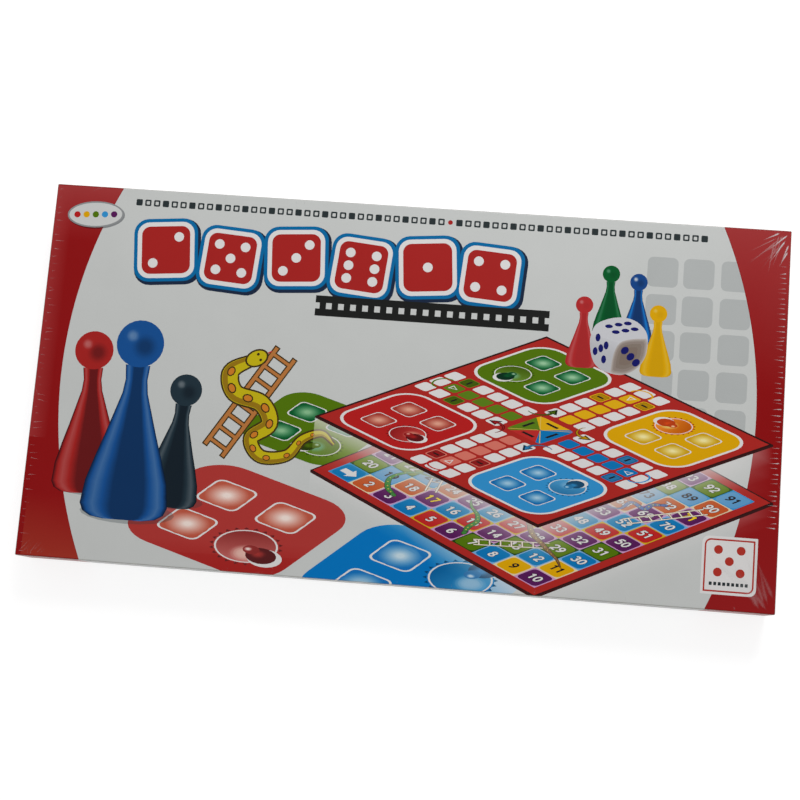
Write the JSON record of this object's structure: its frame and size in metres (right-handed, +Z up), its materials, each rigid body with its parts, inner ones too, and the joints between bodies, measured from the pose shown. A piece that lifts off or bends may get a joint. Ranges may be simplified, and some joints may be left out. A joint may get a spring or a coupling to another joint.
{
  "type": "boxed snakes and ladders board",
  "caption": "Wrapped card games box with a lift-off lid, a folding board printed on both faces, and pawns, a die and a shaker in a formed tray.",
  "frame": {"origin": "centre of the underside of the wrapped box", "axes": "+X along the long side, +Y towards the top of the lid's print and the board's fold, +Z up"},
  "size_m": [0.52, 0.266, 0.037],
  "materials": {
    "greyboard": "bare greyboard with a fine fibre fleck",
    "lid_paper": "coated paper, printed in red, blue, green and yellow on white",
    "base_paper": "coated paper, printed red",
    "shrink_film": "clear shrink film with fine creases",
    "tray_plastic": "thin formed sheet, off-white",
    "board_print_outer": "varnished print of a ludo track",
    "board_print_inner": "varnished print of a numbered track with snakes and ladders",
    "hinge_cloth": "fine woven book cloth",
    "die_white": "moulded, blue pips",
    "cup_red": "moulded",
    "pawn_red": "moulded",
    "pawn_green": "moulded",
    "pawn_blue": "moulded",
    "pawn_yellow": "moulded"
  },
  "bodies": {
    "base": {"base_shell": "greyboard", "base_wrap": "base_paper", "film_lower": "shrink_film"},
    "lid": {"lid_shell": "greyboard", "lid_wrap": "lid_paper", "film_upper": "shrink_film"},
    "tray": {"insert_tray": "tray_plastic"},
    "board_lower": {"board_core_lower": "greyboard", "board_wrap_lower": "board_print_outer", "board_liner_lower": "board_print_inner", "hinge_tape_lower": "hinge_cloth"},
    "board_upper": {"board_core_upper": "greyboard", "board_wrap_upper": "board_print_outer", "board_liner_upper": "board_print_inner", "hinge_tape_upper": "hinge_cloth"},
    "pawn_red_1": {"pawn_red_1": "pawn_red"},
    "pawn_red_2": {"pawn_red_2": "pawn_red"},
    "pawn_red_3": {"pawn_red_3": "pawn_red"},
    "pawn_red_4": {"pawn_red_4": "pawn_red"},
    "pawn_green_1": {"pawn_green_1": "pawn_green"},
    "pawn_green_2": {"pawn_green_2": "pawn_green"},
    "pawn_green_3": {"pawn_green_3": "pawn_green"},
    "pawn_green_4": {"pawn_green_4": "pawn_green"},
    "pawn_blue_1": {"pawn_blue_1": "pawn_blue"},
    "pawn_blue_2": {"pawn_blue_2": "pawn_blue"},
    "pawn_blue_3": {"pawn_blue_3": "pawn_blue"},
    "pawn_blue_4": {"pawn_blue_4": "pawn_blue"},
    "pawn_yellow_1": {"pawn_yellow_1": "pawn_yellow"},
    "pawn_yellow_2": {"pawn_yellow_2": "pawn_yellow"},
    "pawn_yellow_3": {"pawn_yellow_3": "pawn_yellow"},
    "pawn_yellow_4": {"pawn_yellow_4": "pawn_yellow"},
    "die": {"die": "die_white"},
    "shaker_cup": {"shaker_cup": "cup_red"}
  },
  "joints": [
    {"name": "lid_lift", "type": "slide", "parent": "base", "child": "lid", "axis": [0, 0, 1], "range_m": [0, 0.95]},
    {"name": "board_lift", "type": "slide", "parent": "base", "child": "board_lower", "axis": [0, 0, 1], "range_m": [0, 0.1]},
    {"name": "board_fold", "type": "hinge", "parent": "board_lower", "child": "board_upper", "pos_m": [0, 0.127, 0.0327], "axis": [-1, 0, 0], "range_deg": [0, 180]},
    {"name": "tray_lift", "type": "slide", "parent": "base", "child": "tray", "axis": [0, 0, 1], "range_m": [0, 0.02]},
    {"name": "pawn_red_1_lift", "type": "slide", "parent": "tray", "child": "pawn_red_1", "axis": [0, 0, 1], "range_m": [0, 0.035]},
    {"name": "pawn_red_2_lift", "type": "slide", "parent": "tray", "child": "pawn_red_2", "axis": [0, 0, 1], "range_m": [0, 0.035]},
    {"name": "pawn_red_3_lift", "type": "slide", "parent": "tray", "child": "pawn_red_3", "axis": [0, 0, 1], "range_m": [0, 0.035]},
    {"name": "pawn_red_4_lift", "type": "slide", "parent": "tray", "child": "pawn_red_4", "axis": [0, 0, 1], "range_m": [0, 0.035]},
    {"name": "pawn_green_1_lift", "type": "slide", "parent": "tray", "child": "pawn_green_1", "axis": [0, 0, 1], "range_m": [0, 0.035]},
    {"name": "pawn_green_2_lift", "type": "slide", "parent": "tray", "child": "pawn_green_2", "axis": [0, 0, 1], "range_m": [0, 0.035]},
    {"name": "pawn_green_3_lift", "type": "slide", "parent": "tray", "child": "pawn_green_3", "axis": [0, 0, 1], "range_m": [0, 0.035]},
    {"name": "pawn_green_4_lift", "type": "slide", "parent": "tray", "child": "pawn_green_4", "axis": [0, 0, 1], "range_m": [0, 0.035]},
    {"name": "pawn_blue_1_lift", "type": "slide", "parent": "tray", "child": "pawn_blue_1", "axis": [0, 0, 1], "range_m": [0, 0.035]},
    {"name": "pawn_blue_2_lift", "type": "slide", "parent": "tray", "child": "pawn_blue_2", "axis": [0, 0, 1], "range_m": [0, 0.035]},
    {"name": "pawn_blue_3_lift", "type": "slide", "parent": "tray", "child": "pawn_blue_3", "axis": [0, 0, 1], "range_m": [0, 0.035]},
    {"name": "pawn_blue_4_lift", "type": "slide", "parent": "tray", "child": "pawn_blue_4", "axis": [0, 0, 1], "range_m": [0, 0.035]},
    {"name": "pawn_yellow_1_lift", "type": "slide", "parent": "tray", "child": "pawn_yellow_1", "axis": [0, 0, 1], "range_m": [0, 0.035]},
    {"name": "pawn_yellow_2_lift", "type": "slide", "parent": "tray", "child": "pawn_yellow_2", "axis": [0, 0, 1], "range_m": [0, 0.035]},
    {"name": "pawn_yellow_3_lift", "type": "slide", "parent": "tray", "child": "pawn_yellow_3", "axis": [0, 0, 1], "range_m": [0, 0.035]},
    {"name": "pawn_yellow_4_lift", "type": "slide", "parent": "tray", "child": "pawn_yellow_4", "axis": [0, 0, 1], "range_m": [0, 0.035]},
    {"name": "die_lift", "type": "slide", "parent": "tray", "child": "die", "axis": [0, 0, 1], "range_m": [0, 0.035]},
    {"name": "shaker_cup_lift", "type": "slide", "parent": "tray", "child": "shaker_cup", "axis": [0, 0, 1], "range_m": [0, 0.035]}
  ],
  "couplings": [
    {"joint": "board_lift", "follows": "lid_lift", "ratio": 0.105},
    {"joint": "board_fold", "follows": "lid_lift", "rad_per_m": 3.3069},
    {"joint": "tray_lift", "follows": "lid_lift", "ratio": 0.02},
    {"joint": "pawn_red_1_lift", "follows": "lid_lift", "ratio": 0.035},
    {"joint": "pawn_red_2_lift", "follows": "lid_lift", "ratio": 0.035},
    {"joint": "pawn_red_3_lift", "follows": "lid_lift", "ratio": 0.035},
    {"joint": "pawn_red_4_lift", "follows": "lid_lift", "ratio": 0.035},
    {"joint": "pawn_green_1_lift", "follows": "lid_lift", "ratio": 0.035},
    {"joint": "pawn_green_2_lift", "follows": "lid_lift", "ratio": 0.035},
    {"joint": "pawn_green_3_lift", "follows": "lid_lift", "ratio": 0.035},
    {"joint": "pawn_green_4_lift", "follows": "lid_lift", "ratio": 0.035},
    {"joint": "pawn_blue_1_lift", "follows": "lid_lift", "ratio": 0.035},
    {"joint": "pawn_blue_2_lift", "follows": "lid_lift", "ratio": 0.035},
    {"joint": "pawn_blue_3_lift", "follows": "lid_lift", "ratio": 0.035},
    {"joint": "pawn_blue_4_lift", "follows": "lid_lift", "ratio": 0.035},
    {"joint": "pawn_yellow_1_lift", "follows": "lid_lift", "ratio": 0.035},
    {"joint": "pawn_yellow_2_lift", "follows": "lid_lift", "ratio": 0.035},
    {"joint": "pawn_yellow_3_lift", "follows": "lid_lift", "ratio": 0.035},
    {"joint": "pawn_yellow_4_lift", "follows": "lid_lift", "ratio": 0.035},
    {"joint": "die_lift", "follows": "lid_lift", "ratio": 0.035},
    {"joint": "shaker_cup_lift", "follows": "lid_lift", "ratio": 0.035}
  ]
}
